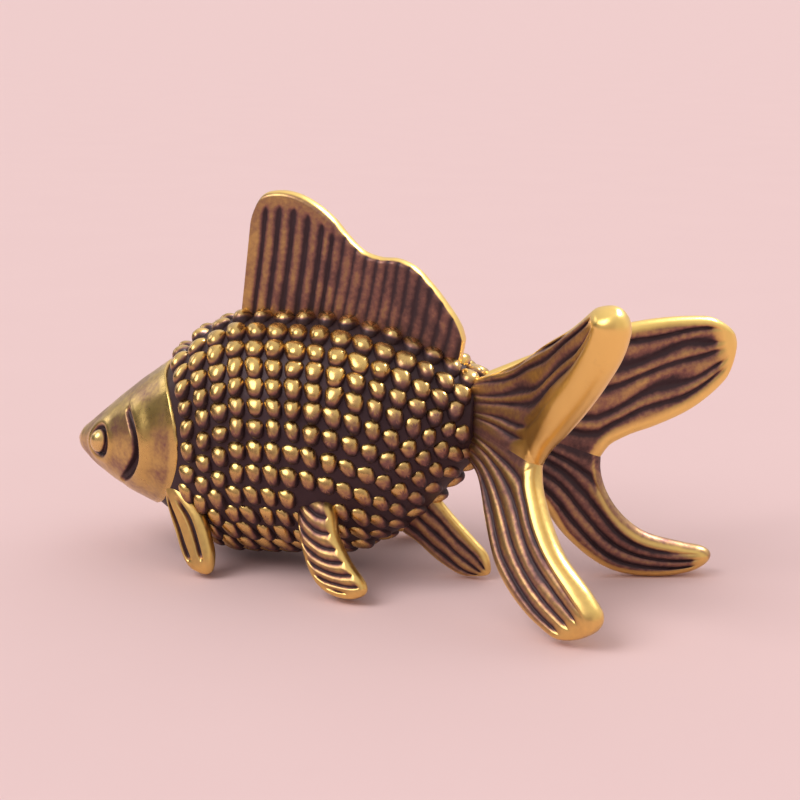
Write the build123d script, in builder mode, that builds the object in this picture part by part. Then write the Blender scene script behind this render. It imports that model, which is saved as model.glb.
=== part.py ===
"""Solid brass goldfish ornament: a scaled body with a head, eyes and ribbed fins pinned into it."""

import os
from math import asin, cos, pi, sin, sqrt

from build123d import *

# X runs from the nose to the tail, the fish's left side is -Y, and Z = 0 is the ground. All in mm.
pin_clearance = 0.04

# Body: a row of upright ovals. Shares of its length, of its height at back and belly, of its width.
body_start = 7.5
body_length = 27.8
body_height = 18.35
body_width = 15.6
belly_gap = 1.75
body_shares = [
    (0.0, 0.66, 0.19, 0.64),
    (0.20, 0.932, 0.052, 0.90),
    (0.45, 1.0, 0.0, 1.0),
    (0.665, 0.981, 0.0245, 0.935),
    (0.81, 0.915, 0.117, 0.77),
    (0.917, 0.845, 0.29, 0.55),
    (1.0, 0.787, 0.439, 0.37),
]

# Head: ovals from the nose to the gill covers. Shares of its length, height up, height down, width.
head_length = 12.9
head_height = 16.2
head_width = 14.3
nose_height = 8.45
head_shares = [
    (0.0, 0.034, 0.034, 0.075),
    (0.167, 0.139, 0.124, 0.336),
    (0.333, 0.247, 0.198, 0.524),
    (0.5, 0.349, 0.256, 0.678),
    (0.667, 0.441, 0.302, 0.804),
    (0.833, 0.531, 0.343, 0.909),
    (1.0, 0.614, 0.38, 1.0),
]
nose_rounding = 0.4
gill_centre_share = 0.474
gill_height = 10.23
gill_radius = 6.36
groove_centre_share = 0.434
groove_height = 9.6
groove_radius = 2.75
groove_width = 0.6
groove_depth = 0.45
groove_start_share = 0.4
spigot_radius = 2.4
spigot_length = 3.6

# Eyes: domed beads, each on a pin in a round recess of the head.
eye_share = 0.291
eye_height = 9.15
eye_radius = 0.95
eye_dome = 0.95
eye_recess_radius = 1.2
eye_recess_depth = 0.45
eye_pin_radius = 0.4
eye_pin_length = 1.0

# Scales: oval-topped studs cast on the body in columns round it and rows along it.
scale_long = 1.16
scale_tall = 1.36
scale_relief = 0.42
scale_root = 0.25
scale_taper = 18
scale_column_pitch = 1.6
scale_row_pitch = 1.64
scale_front_gap = 0.95
scale_rear_gap = 0.9
scale_fin_gap = 0.8
scale_bulge = 3.8
scale_lean = 3.2
scale_girth_steps = 60

# Fins: ribbed blades that are pinned into the body; those that reach the ground end on a filed flat.
foot_trim = 0.4
rim_share = 0.55
blade_shares = [0.0, 0.18, 0.36, 0.54, 0.72, 0.88, 0.96, 1.0]
tip_start_share = 0.86
tip_least_share = 0.45
fin_thickness = 1.35
fin_groove = 0.22
fin_pin_radius = 0.42
fin_pin_depth = 1.6
fin_pin_share = 0.8

# Dorsal fin outline: shares of its length along the back and of its height over the back.
dorsal_start_share = 0.28
dorsal_length = 18.6
dorsal_height = 9.9
dorsal_thickness = 1.5
dorsal_edge = 0.35
dorsal_rim = 0.75
dorsal_groove_width = 0.5
dorsal_groove_depth = 0.35
dorsal_groove_count = 16
dorsal_tenon_thickness = 0.8
dorsal_tenon_depth = 1.8
dorsal_tenon_share = 0.6
dorsal_front_shares = [(0.0, -0.35), (0.0, 0.0), (0.02, 0.40), (0.055, 0.80), (0.09, 0.92)]
dorsal_top_shares = [
    (0.09, 0.92),
    (0.125, 0.985),
    (0.19, 1.0),
    (0.265, 0.98),
    (0.345, 0.91),
    (0.42, 0.80),
    (0.49, 0.67),
    (0.565, 0.54),
    (0.625, 0.51),
    (0.71, 0.505),
    (0.785, 0.455),
    (0.85, 0.33),
    (0.92, 0.20),
    (0.985, 0.0),
    (1.0, -0.09),
]
dorsal_rear_shares = [(1.0, -0.09), (0.975, -0.25), (0.86, -0.55)]

# Tail: two halves of an upper and a lower lobe. Shares of its length, its spread and its rise or drop.
tail_length = 17.2
tail_spread = 13.0
tail_rise = 10.9
tail_root_share = 0.614
tail_thickness = 1.6
finger_swell = 0.6
lobe_swell = 0.25
tail_groove = 0.3
tail_upper_ribs = 5
tail_lower_ribs = 4
tail_pin_radius = 0.7
tail_pin_depth = 3.0
tail_pin_overlap = 0.8
left_upper_front = [
    (-0.052, 0.073, 0.274),
    (0.233, 0.262, 0.485),
    (0.401, 0.477, 0.686),
    (0.69, 0.905, 1.045),
]
left_upper_rear = [
    (-0.052, 0.073, -0.093),
    (0.366, 0.477, -0.158),
    (0.57, 0.692, 0.246),
    (0.814, 0.969, 0.934),
]
left_lower_front = [
    (-0.052, 0.09, -0.201),
    (0.128, 0.415, -0.493),
    (0.238, 0.646, -0.723),
    (0.39, 0.815, -0.877),
    (0.576, 0.923, -1.06),
]
left_lower_rear = [
    (-0.052, 0.09, 0.06),
    (0.36, 0.462, -0.132),
    (0.413, 0.6, -0.316),
    (0.517, 0.754, -0.516),
    (0.767, 0.977, -0.87),
]
right_upper_front = [
    (-0.052, 0.073, 0.274),
    (0.256, 0.223, 0.475),
    (0.558, 0.462, 0.631),
    (0.826, 0.723, 0.659),
    (0.965, 0.862, 0.631),
]
right_upper_rear = [
    (-0.052, 0.073, -0.093),
    (0.465, 0.408, -0.35),
    (0.651, 0.592, -0.167),
    (0.837, 0.762, -0.011),
    (1.0, 0.923, 0.329),
]
right_lower_front = [
    (-0.052, 0.09, -0.201),
    (0.244, 0.138, -0.524),
    (0.343, 0.215, -0.739),
    (0.547, 0.331, -0.972),
    (0.779, 0.431, -1.02),
    (0.948, 0.538, -0.955),
]
right_lower_rear = [
    (-0.052, 0.09, 0.06),
    (0.448, 0.385, -0.263),
    (0.5, 0.377, -0.501),
    (0.645, 0.438, -0.716),
    (0.808, 0.523, -0.8),
    (0.971, 0.592, -0.831),
]

# Lower fins: shares of the body's length, half width and height, from root to tip along each edge.
pectoral_front = [
    (0.086, 0.513, 0.37),
    (0.105, 0.641, 0.328),
    (0.152, 0.769, 0.187),
    (0.211, 0.885, 0.058),
    (0.255, 0.936, 0.0),
]
pectoral_rear = [
    (0.14, 0.538, 0.455),
    (0.165, 0.679, 0.402),
    (0.25, 0.808, 0.28),
    (0.283, 0.872, 0.169),
    (0.304, 0.936, 0.045),
]
pectoral_ribs = 3
pelvic_front = [
    (0.514, 0.59, 0.37),
    (0.542, 0.795, 0.312),
    (0.573, 0.949, 0.19),
    (0.619, 1.064, 0.09),
    (0.701, 1.167, 0.0),
]
pelvic_rear = [
    (0.629, 0.615, 0.429),
    (0.656, 0.846, 0.36),
    (0.675, 0.949, 0.278),
    (0.712, 1.038, 0.196),
    (0.805, 1.19, 0.06),
]
pelvic_ribs = 4
anal_front = [
    (0.723, 0.0, 0.296),
    (0.806, 0.0, 0.159),
    (0.878, 0.0, 0.079),
    (0.946, 0.0, 0.02),
    (1.0, 0.0, 0.0),
]
anal_rear = [
    (0.82, 0.0, 0.444),
    (0.917, 0.0, 0.28),
    (0.975, 0.0, 0.196),
    (1.02, 0.0, 0.115),
    (1.04, 0.0, 0.04),
]
anal_ribs = 3


def oval(x, low, high, half_width):
    """One upright oval section of a loft."""
    with BuildSketch(Plane.YZ.offset(x)) as section:
        with Locations((0, (low + high) / 2)):
            Ellipse(half_width, (high - low) / 2)
    return section.sketch


def body_oval(along, inset=0):
    """Place, lowest and highest point and half width of the body at a share of its length."""
    for first, last in zip(body_shares, body_shares[1:]):
        if along <= last[0]:
            break
    part = (along - first[0]) / (last[0] - first[0])
    back, belly, wide = (first[k] + part * (last[k] - first[k]) for k in (1, 2, 3))
    low = belly_gap + belly * body_height + inset
    high = belly_gap + back * body_height - inset
    return body_start + along * body_length, low, high, wide * body_width / 2 - inset


def head_solid(inset):
    """Head blank from nose to gill covers, thinner all round by the inset."""
    sections = []
    for along, up, down, wide in head_shares:
        half_width = wide * head_width / 2
        if half_width > 2 * inset:
            low = nose_height - down * head_height + inset
            high = nose_height + up * head_height - inset
            sections.append(oval(along * head_length, low, high, half_width - inset))
    with BuildPart() as blank:
        loft(sections)
    return blank.part


def body_point(along, out, up):
    """A point at shares of the body's length, half width (left side) and height, over the ground."""
    x = body_start + along * body_length
    return Vector(x, -out * body_width / 2, up * body_height - foot_trim)


def tail_point(along, out, up, side, reach):
    """A point of a tail lobe at shares of the tail's length, spread and rise or drop."""
    x = body_start + body_length + along * tail_length
    return Vector(x, side * out * tail_spread, tail_root + up * reach)


def rib_outline(width, thickness, swell, groove, ribs):
    """Closed section of a blade: thicker to the rear, ridges and grooves on both faces, slim edges."""
    steps = 2 * ribs
    face = []
    for k in range(1, steps):
        depth = groove if k % 2 == 0 else 0
        half = thickness * (1 + swell * k / steps) / 2
        face.append((width * (k / steps - 1 / 2), half - depth))
    rim = thickness * rim_share / 2
    top = [(-width / 2, rim)] + face + [(width / 2, rim * (1 + swell))]
    return top + [(x, -y) for x, y in reversed(top)]


def blade(front, rear, thickness, swell, groove, ribs):
    """A fin blade lofted between its two edge curves, narrowing to a blunt round tip."""
    with BuildLine() as front_line:
        Spline(*front)
    with BuildLine() as rear_line:
        Spline(*rear)
    with BuildPart() as made:
        for share in blade_shares:
            a, b = front_line.line @ share, rear_line.line @ share
            across = (b - a).normalized()
            run = front_line.line % share + rear_line.line % share
            run = run - across * run.dot(across)
            past = max(share - tip_start_share, 0) / (1 - tip_start_share)
            round_off = max(sqrt(1 - past * past), tip_least_share)
            with BuildSketch(Plane(origin=(a + b) / 2, x_dir=across, z_dir=run)):
                with BuildLine():
                    wide = (b - a).length * round_off
                    thick = thickness * (1 + round_off) / 2
                    Polyline(*rib_outline(wide, thick, swell, groove * round_off, ribs), close=True)
                make_face()
        loft()
    return made.part


def root_pin(front, rear, clearance):
    """Round pin from inside a blade, through its root and into the body, or the socket for it."""
    start = (front[0] + rear[0]) / 2
    run = (front[2] + rear[2]) / 2 - start
    deep = start - run.normalized() * (fin_pin_depth + clearance)
    with BuildPart() as pin:
        with BuildSketch(Plane(origin=deep, z_dir=run)):
            Circle(fin_pin_radius + clearance)
        extrude(amount=fin_pin_depth + clearance + run.length * fin_pin_share)
    return pin.part


# Smooth body, before its sockets are cut and its scales are cast on.
with BuildPart() as body_blank:
    loft([oval(*body_oval(row[0])) for row in body_shares])
tail_root = belly_gap + tail_root_share * body_height

# Shape of the gill covers seen from the side; the head ends on it and the body starts on it.
with BuildPart() as gill_shape:
    with BuildSketch(Plane.XZ):
        with Locations((gill_centre_share * head_length, gill_height)):
            Circle(gill_radius)
            Rectangle(head_length, 2 * gill_radius, align=(Align.MAX, Align.CENTER))
    extrude(amount=body_width, both=True)

# Curved groove in front of the gill covers, cut to one depth below the cheeks.
with BuildPart() as gill_groove:
    with BuildSketch(Plane.XZ):
        groove_x = groove_centre_share * head_length
        with Locations((groove_x, groove_height)):
            Circle(groove_radius + groove_width / 2)
            Circle(groove_radius - groove_width / 2, mode=Mode.SUBTRACT)
        with Locations((groove_x + groove_start_share * groove_radius, groove_height)):
            Rectangle(
                2 * groove_radius,
                4 * groove_radius,
                align=(Align.MIN, Align.CENTER),
                mode=Mode.INTERSECT,
            )
    extrude(amount=body_width, both=True)
    add(head_solid(groove_depth), mode=Mode.SUBTRACT)

# Head with its gill grooves, eye recesses and the spigot that holds it in the body.
with BuildPart() as head:
    add(head_solid(0))
    fillet(head.faces().sort_by(Axis.X)[0].edges(), nose_rounding)
    add(gill_shape.part, mode=Mode.INTERSECT)
    cheeks = head.part.shell()
    add(gill_groove.part, mode=Mode.SUBTRACT)
    gill_end = gill_centre_share * head_length + gill_radius
    with BuildSketch(Plane.YZ.offset(gill_end - spigot_length)):
        with Locations((0, gill_height)):
            Circle(spigot_radius)
    extrude(amount=2 * spigot_length)
    eye_axis = Axis((eye_share * head_length, 0, eye_height), (0, 1, 0))
    eye_seats = []
    for point, normal in cheeks.find_intersection_points(eye_axis):
        outward = normal if normal.Y * point.Y > 0 else -normal
        eye_seats.append(Plane(origin=point - outward * eye_recess_depth, z_dir=outward))
    eye_seats.sort(key=lambda seat: seat.origin.Y)
    for seat in eye_seats:
        with BuildSketch(seat):
            Circle(eye_recess_radius)
        extrude(amount=2 * eye_recess_depth, mode=Mode.SUBTRACT)
        with BuildSketch(seat):
            Circle(eye_pin_radius + pin_clearance)
        extrude(amount=-eye_pin_length - pin_clearance, mode=Mode.SUBTRACT)


def eye(seat):
    """Domed eye bead on its pin, standing on the floor of the recess."""
    ball = (eye_radius**2 + eye_dome**2) / (2 * eye_dome)
    rise = (pi / 2 + asin((ball - eye_dome) / ball)) / 2
    crown = (ball * cos(rise), eye_dome - ball + ball * sin(rise))
    with BuildPart() as bead:
        with BuildSketch(Plane(origin=seat.origin, x_dir=seat.x_dir, z_dir=-seat.y_dir)):
            with BuildLine():
                Polyline((0, eye_dome), (0, -eye_pin_length), (eye_pin_radius, -eye_pin_length))
                Polyline((eye_pin_radius, -eye_pin_length), (eye_pin_radius, 0), (eye_radius, 0))
                ThreePointArc((eye_radius, 0), crown, (0, eye_dome))
            make_face()
        revolve(axis=Axis(seat.origin, seat.z_dir))
    return bead.part


with BuildPart() as left_eye:
    add(eye(eye_seats[0]))
with BuildPart() as right_eye:
    add(eye(eye_seats[-1]))

# Dorsal fin: an upright plate with a smooth rim, ribbed below it on both faces, on a long tenon.
dorsal_x = body_start + dorsal_start_share * body_length
dorsal_z = belly_gap + body_height - dorsal_edge


def dorsal_points(shares):
    return [(dorsal_x + along * dorsal_length, dorsal_z + up * dorsal_height) for along, up in shares]


def inset_points(points, amount):
    """The points of a top edge, each moved inwards by an amount square to the edge."""
    moved = []
    for k, (x, z) in enumerate(points):
        before, after = points[max(k - 1, 0)], points[min(k + 1, len(points) - 1)]
        run = Vector(after[0] - before[0], after[1] - before[1]).normalized()
        moved.append((x + run.Y * amount, z - run.X * amount))
    return moved


def dorsal_face(plane, rim, edge):
    """Outline of the dorsal fin on a plane, smaller by the rim, with a curved or faceted top edge."""
    front = [(x + rim, z) for x, z in dorsal_points(dorsal_front_shares)[:-2]]
    top = inset_points(dorsal_points(dorsal_top_shares), rim)
    rear = [(x - rim, z) for x, z in dorsal_points(dorsal_rear_shares)[1:]]
    with BuildSketch(plane) as outline:
        with BuildLine():
            Polyline(*front, top[0])
            edge(*top)
            Polyline(top[-1], *rear, front[0])
        make_face()
    return outline.sketch


def dorsal_grooves(side):
    """Upright grooves on one face of the dorsal fin, ending below the smooth rim."""
    plane = Plane.XZ.offset(side * dorsal_thickness / 2)
    with BuildSketch(plane) as stripes:
        with Locations((dorsal_x + dorsal_length / 2, dorsal_z)):
            with GridLocations(dorsal_pitch, 0, dorsal_groove_count, 1):
                Rectangle(dorsal_groove_width, 4 * dorsal_height)
    return stripes.sketch & dorsal_face(plane, dorsal_rim, Polyline)


dorsal_pitch = dorsal_length / (dorsal_groove_count + 1)
with BuildPart() as dorsal_tenon:
    with BuildSketch(Plane.XY.offset(dorsal_z - dorsal_tenon_depth)):
        with Locations((dorsal_x + dorsal_tenon_share * dorsal_length / 2, 0)):
            SlotOverall(dorsal_tenon_share * dorsal_length, dorsal_tenon_thickness)
    extrude(amount=dorsal_tenon_depth + dorsal_tenon_thickness)
with BuildPart() as dorsal_fin:
    extrude(dorsal_face(Plane.XZ, 0, Spline), amount=dorsal_thickness / 2, both=True)
    for side in (-1, 1):
        depth = side * dorsal_groove_depth
        extrude(dorsal_grooves(side), amount=depth, dir=(0, 1, 0), mode=Mode.SUBTRACT)
    add(body_blank.part, mode=Mode.SUBTRACT)
    add(dorsal_tenon.part)


def lower_fin(front_shares, rear_shares, ribs):
    """A blade from inside the body to the ground, with its pin, cut flat where it stands."""
    front = [body_point(*row) for row in front_shares]
    rear = [body_point(*row) for row in rear_shares]
    with BuildPart() as fin:
        add(blade(front, rear, fin_thickness, 0, fin_groove, ribs))
        add([body_blank.part, head.part], mode=Mode.SUBTRACT)
        add(root_pin(front, rear, 0))
        split(bisect_by=Plane.XY, keep=Keep.TOP)
    return fin.part, root_pin(front, rear, pin_clearance)


left_pectoral_part, pectoral_socket = lower_fin(pectoral_front, pectoral_rear, pectoral_ribs)
left_pelvic_part, pelvic_socket = lower_fin(pelvic_front, pelvic_rear, pelvic_ribs)
anal_part, anal_socket = lower_fin(anal_front, anal_rear, anal_ribs)
with BuildPart() as left_pectoral_fin:
    add(left_pectoral_part)
with BuildPart() as right_pectoral_fin:
    mirror(left_pectoral_part, about=Plane.XZ)
with BuildPart() as left_pelvic_fin:
    add(left_pelvic_part)
with BuildPart() as right_pelvic_fin:
    mirror(left_pelvic_part, about=Plane.XZ)
with BuildPart() as anal_fin:
    add(anal_part)


def tail_half(upper_front, upper_rear, upper_swell, lower_front, lower_rear, side):
    """One half of the tail: an upper and a lower lobe from one root, with the pin for the body."""
    upper = [[tail_point(*row, side, tail_rise) for row in edge] for edge in (upper_front, upper_rear)]
    lower = [[tail_point(*row, side, tail_root) for row in edge] for edge in (lower_front, lower_rear)]
    with BuildPart() as half:
        add(blade(*upper, tail_thickness, upper_swell, tail_groove, tail_upper_ribs))
        add(blade(*lower, tail_thickness, lobe_swell, tail_groove, tail_lower_ribs))
        add(body_blank.part, mode=Mode.SUBTRACT)
        split(bisect_by=Plane.XZ, keep=Keep.BOTTOM if side > 0 else Keep.TOP)
        add(tail_pin(side, 0))
        split(bisect_by=Plane.XY, keep=Keep.TOP)
    return half.part


def tail_pin(side, clearance):
    """Round pin of a tail half, lying along the body, or the socket for it."""
    with BuildPart() as pin:
        with BuildSketch(Plane.YZ.offset(body_start + body_length - tail_pin_depth - clearance)):
            with Locations((side * tail_thickness / 2, tail_root)):
                Circle(tail_pin_radius + clearance)
        extrude(amount=tail_pin_depth + clearance + tail_pin_overlap)
    return pin.part


with BuildPart() as left_tail_fin:
    left_upper = (left_upper_front, left_upper_rear, finger_swell)
    add(tail_half(*left_upper, left_lower_front, left_lower_rear, -1))
with BuildPart() as right_tail_fin:
    right_upper = (right_upper_front, right_upper_rear, lobe_swell)
    add(tail_half(*right_upper, right_lower_front, right_lower_rear, 1))

# One scale: a stud with sloping sides whose root is sunk in the body.
with BuildPart() as scale_stud:
    with BuildSketch(Plane.XY.offset(-scale_root)):
        Rectangle(scale_long, scale_tall)
    extrude(amount=scale_root + scale_relief, taper=scale_taper)


def scale_rays():
    """Rays from the body's middle through each scale of the left side, column by column."""
    count = int((body_length - scale_front_gap + scale_lean) / scale_column_pitch)
    for column in range(count):
        part = column / (count - 1)
        marked = scale_row_pitch / 2
        run = 0
        last = None
        for step in range(scale_girth_steps + 1):
            turn = pi * step / scale_girth_steps
            x = body_start + scale_front_gap + column * scale_column_pitch
            x += scale_bulge * (1 - part) * sin(turn) ** 2 - scale_lean * part * (1 - cos(turn)) / 2
            along = min(max((x - body_start) / body_length, 0), 1)
            x, low, high, half_width = body_oval(along)
            middle = (low + high) / 2
            point = Vector(x, -half_width * sin(turn), middle + (high - low) / 2 * cos(turn))
            if last is not None:
                run += (point - last).length
            last = point
            if run >= marked:
                marked += scale_row_pitch
                start = Vector(x, 0, middle)
                yield Axis(start, point - start)


fins = [dorsal_fin.part, left_pectoral_part, left_pelvic_part, anal_part]
fins += [left_tail_fin.part, right_tail_fin.part]
fin_boxes = [fin.bounding_box() for fin in fins]
gill_middle = Vector(gill_centre_share * head_length, 0, gill_height)
skin = body_blank.part.shell()


def scale_fits(point):
    """Whether a scale at this point of the body clears the gill cover, the tail root and the fins."""
    behind = Vector(point.X - gill_middle.X, 0, point.Z - gill_middle.Z).length
    if behind < gill_radius + scale_front_gap:
        return False
    if point.X > body_start + body_length - scale_rear_gap:
        return False
    for fin, box in zip(fins, fin_boxes):
        near = all(a - scale_fin_gap < v < b + scale_fin_gap for a, v, b in zip(box.min, point, box.max))
        if near and fin.distance_to(point) < scale_fin_gap:
            return False
    return True


scale_studs = []
for ray in scale_rays():
    for point, normal in skin.find_intersection_points(ray):
        if (point - ray.position).dot(ray.direction) > 0 and scale_fits(point):
            outward = normal if normal.dot(ray.direction) > 0 else -normal
            seat = Plane(origin=point, x_dir=Vector(1, 0, 0), z_dir=outward)
            scale_studs.append(seat.location * scale_stud.part.solid())
            scale_studs.append(mirror(scale_studs[-1], about=Plane.XZ))

# Body: the smooth blank cut back to the gill covers, with every socket, and the scales cast on it.
side_sockets = [pectoral_socket, pelvic_socket]
sockets = side_sockets + [mirror(socket, about=Plane.XZ) for socket in side_sockets]
sockets += [anal_socket, tail_pin(-1, pin_clearance), tail_pin(1, pin_clearance)]
with BuildPart() as body:
    add(body_blank.part)
    add(gill_shape.part, mode=Mode.SUBTRACT)
    with BuildSketch(Plane.YZ.offset(gill_end - spigot_length)):
        with Locations((0, gill_height)):
            Circle(spigot_radius + pin_clearance)
    extrude(amount=2 * spigot_length + pin_clearance, mode=Mode.SUBTRACT)
    offset(dorsal_tenon.part, amount=pin_clearance, mode=Mode.SUBTRACT)
    add(sockets, mode=Mode.SUBTRACT)
    add(scale_studs, clean=False)

# All pieces move together so that the origin is below the middle of the whole fish.
pieces = {
    "body": body,
    "head": head,
    "left_eye": left_eye,
    "right_eye": right_eye,
    "dorsal_fin": dorsal_fin,
    "left_pectoral_fin": left_pectoral_fin,
    "right_pectoral_fin": right_pectoral_fin,
    "left_pelvic_fin": left_pelvic_fin,
    "right_pelvic_fin": right_pelvic_fin,
    "anal_fin": anal_fin,
    "left_tail_fin": left_tail_fin,
    "right_tail_fin": right_tail_fin,
}
whole = Compound([piece.part for piece in pieces.values()]).bounding_box()
centring = Location((-(whole.min.X + whole.max.X) / 2, 0, -whole.min.Z))
os.makedirs("parts", exist_ok=True)
for name, piece in pieces.items():
    piece.part.label = name
    export_step(piece.part.moved(centring), f"parts/{name}.step")
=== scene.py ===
"""Looks of the brass goldfish ornament: cast scales, ribbed fins and a worn antique finish."""

import math

import bmesh
import bpy
import numpy as np
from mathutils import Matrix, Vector


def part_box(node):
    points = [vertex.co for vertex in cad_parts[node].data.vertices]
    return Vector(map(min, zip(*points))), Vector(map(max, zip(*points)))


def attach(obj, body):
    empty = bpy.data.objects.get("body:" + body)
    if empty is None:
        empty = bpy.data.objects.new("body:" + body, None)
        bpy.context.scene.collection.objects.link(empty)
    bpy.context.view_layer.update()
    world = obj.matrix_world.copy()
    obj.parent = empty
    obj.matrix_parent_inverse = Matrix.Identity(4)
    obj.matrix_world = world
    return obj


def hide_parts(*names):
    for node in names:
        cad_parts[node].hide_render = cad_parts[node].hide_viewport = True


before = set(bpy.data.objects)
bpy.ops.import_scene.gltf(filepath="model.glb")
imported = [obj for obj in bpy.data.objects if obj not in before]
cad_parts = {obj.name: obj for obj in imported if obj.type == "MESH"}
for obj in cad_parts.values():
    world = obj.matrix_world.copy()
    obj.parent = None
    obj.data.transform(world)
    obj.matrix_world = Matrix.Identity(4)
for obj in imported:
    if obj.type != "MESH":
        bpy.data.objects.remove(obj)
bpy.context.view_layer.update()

# Lengths below are in millimetres from the nose tip; the scene itself is in metres.
MM = 0.001
# Points closer than this, in metres, are one point; shorter edges are slivers.
WELD_GAP = 2e-7
SLIVER = 1e-8
NOSE = np.array([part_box("head")[0].x, 0.0, 0.0])

# Body and head: place along the fish, height of belly and back, half width.
BODY_ROWS = [
    (7.5, 4.6, 13.8, 5.0),
    (13.06, 1.3, 18.85, 7.02),
    (20.0, 1.3, 20.1, 7.8),
    (26.0, 2.15, 19.75, 7.3),
    (30.0, 4.5, 18.55, 6.0),
    (33.0, 7.8, 17.25, 4.3),
    (35.3, 10.3, 16.2, 2.9),
]
HEAD_ROWS = [
    (0.0, 7.9, 9.0, 0.54),
    (2.15, 6.44, 10.7, 2.4),
    (4.3, 5.24, 12.45, 3.75),
    (6.45, 4.3, 14.1, 4.85),
    (8.6, 3.56, 15.6, 5.75),
    (10.75, 2.9, 17.05, 6.5),
    (12.9, 2.3, 18.4, 7.15),
]
NOSE_ROUND = 0.9
# Gill edge: middle and radius of its arc, overlap of the body, and how its place on the ovals is searched.
GILL = (6.12, 10.23, 6.36)
GILL_OVERLAP = 0.5
GILL_LIMIT = 13.5
GILL_HALVINGS = 40
CHEEK_GROOVE = [
    (6.9, -4.2, 12.2),
    (7.5, -4.85, 11.6),
    (8.05, -5.35, 10.8),
    (8.33, -5.6, 9.8),
    (8.25, -5.55, 8.9),
    (7.75, -5.2, 8.0),
    (6.95, -4.6, 7.1),
    (5.8, -3.5, 6.2),
]
GROOVE_DEPTH = 0.6
GROOVE_WIDTH = (0.12, 0.3)
CHEEK_RISE = 0.22
HAMMER_DEPTH = 0.012
HEAD_MIDDLE = (6, 0, 9.5)
HEAD_WEAR, HEAD_CLOUD = 0.53, 0.1
# Lip behind the gill edge: how far each ring lies back and in, and the wear of all rings.
LIP = ((0.1, 0.05), (0.16, 0.16), (0.17, 0.34), (0.1, 0.9))
LIP_WEAR = (0.85, 0.9, 0.6, 0.2, 0.0)
# Eyes: place, radii and sink of the bead; radius, width and depth of its ring and of the pad round it.
EYE = (3.75, 9.25)
EYE_RADIUS = (0.9, 0.94, 0.78)
EYE_SINK = 0.1
EYE_RING = (1.08, 0.2, 0.3)
EYE_PAD = (1.6, 0.4, 0.1)
# Step along a surface, over which its directions are measured.
NEAR = 0.02

# Columns of scales: room at both ends, pitch along and round the body, closing up, bend and lean.
SCALE_START = 0.94
SCALE_TAIL_ROOM = 0.6
SCALE_PITCH = (1.8, 1.56)
SCALE_CROWD = 0.26
SCALE_BULGE = 3.8
SCALE_LEAN = 3.2
# One scale: half width and height, relief, slant, taper, squareness and the two powers of its dome.
SCALE_HALF = (0.68, 0.83)
SCALE_RELIEF = 0.64
SCALE_SLANT = 0.22
SCALE_TAPER = 0.22
SCALE_SQUARE = 2.5
SCALE_DOME = (2.2, 0.6)
# Random spread of its sizes, relief, slant and wear.
SIZE_SPREAD, RELIEF_SPREAD, SLANT_SPREAD, WEAR_SPREAD = 0.06, 0.12, 0.08, 0.05
# The ridge ahead of the dorsal fin, where scales are flat: facing, places where that ends, and share.
RIDGE_FACING, RIDGE_END, RIDGE_FLAT = (0.7, 1.0), (13.0, 16.0), 0.75
# Scales on the back are higher, taller and broader, those under the belly lower and narrower.
BACK_LIFT, BACK_TALL, BACK_BROAD = 0.25, 0.4, 0.2
BELLY_DROP, BELLY_SLANT, BELLY_NARROW = 0.25, 0.25, 0.16
# Wear and painted light of the scales: rubbed bare top, painted shade on the lower flank, painted
# highlight on the back, painted shade under the belly and shade at the rear.
BARE_TOP, PAINTED_FLANK_SHADE, BACK_PAINTED_HIGHLIGHT = 0.54, 0.38, 1.6
BELLY_SHADE, REAR_SHADE, REAR_PLACES = 0.15, 0.14, (25.0, 32.0)
# Rings of one scale, as shares of its half size from the foot to the top.
SCALE_RINGS = (1.0, 0.97, 0.9, 0.78, 0.6, 0.36)
SCALE_FOOT = 0.06
SCALE_CLEAR_GILL = 0.75
SCALE_CLEAR_TAIL = 0.15
# First row as a share of the pitch, with and without a scale on the ridge, and room at the keel.
ROW_START = (0.65, 0.5)
ROW_END = 0.45
KEEL_ROOM = 0.8
# How closely the rows follow each other, from the back (0 degrees) to the keel (180 degrees).
SCALE_CLOSE = ((0, 20, 35, 60, 90, 125, 180), (0.62, 0.66, 0.9, 1.02, 0.87, 0.74, 0.62))
# Bare places: front and rear end, half width and height of the dorsal fin; middle and reach of fin roots.
DORSAL_ROOT = (14.4, 34.2, 0.9, 16)
FIN_ROOTS = ((11.3, 5.0, 6.8, 1.5), (24.2, 6.0, 6.4, 1.5), (30.0, 0, 5.4, 1.3))


def smooth(table, at):
    """Columns of a table at the given places, on a smooth curve through its rows."""
    rows = np.array(table, float)
    x, y = rows[:, 0], rows[:, 1:]
    slope = np.gradient(y, x, axis=0)
    at = np.clip(np.asarray(at, float), x[0], x[-1])
    k = np.clip(np.searchsorted(x, at) - 1, 0, len(x) - 2)
    step = (x[k + 1] - x[k])[..., None]
    t = (at[..., None] - x[k][..., None]) / step
    start, end = y[k], y[k + 1]
    lead, tail = slope[k] * step, slope[k + 1] * step
    return (
        start * (2 * t**3 - 3 * t**2 + 1)
        + lead * (t**3 - 2 * t**2 + t)
        + end * (3 * t**2 - 2 * t**3)
        + tail * (t**3 - t**2)
    )


def curve(points, at):
    """Points of a smooth curve through the given points, at shares of its length."""
    points = np.array(points, float)
    run = np.concatenate([[0], np.cumsum(np.linalg.norm(np.diff(points, axis=0), axis=1))])
    return smooth(np.column_stack([run / run[-1], points]), at)


def step_between(low, high, value):
    """Smooth step from 0 at low to 1 at high."""
    t = np.clip((value - low) / (high - low), 0, 1)
    return t * t * (3 - 2 * t)


def unit(v):
    """Vectors of length 1."""
    return v / np.maximum(np.linalg.norm(v, axis=-1, keepdims=True), 1e-12)


def wavy(*phases):
    """A slow irregular wave between -1 and 1."""
    total = 0
    for k, phase in enumerate(phases):
        total = total + np.sin(phase * (1.7 + 0.9 * k) + 1.3 * k)
    return total / len(phases)


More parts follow.
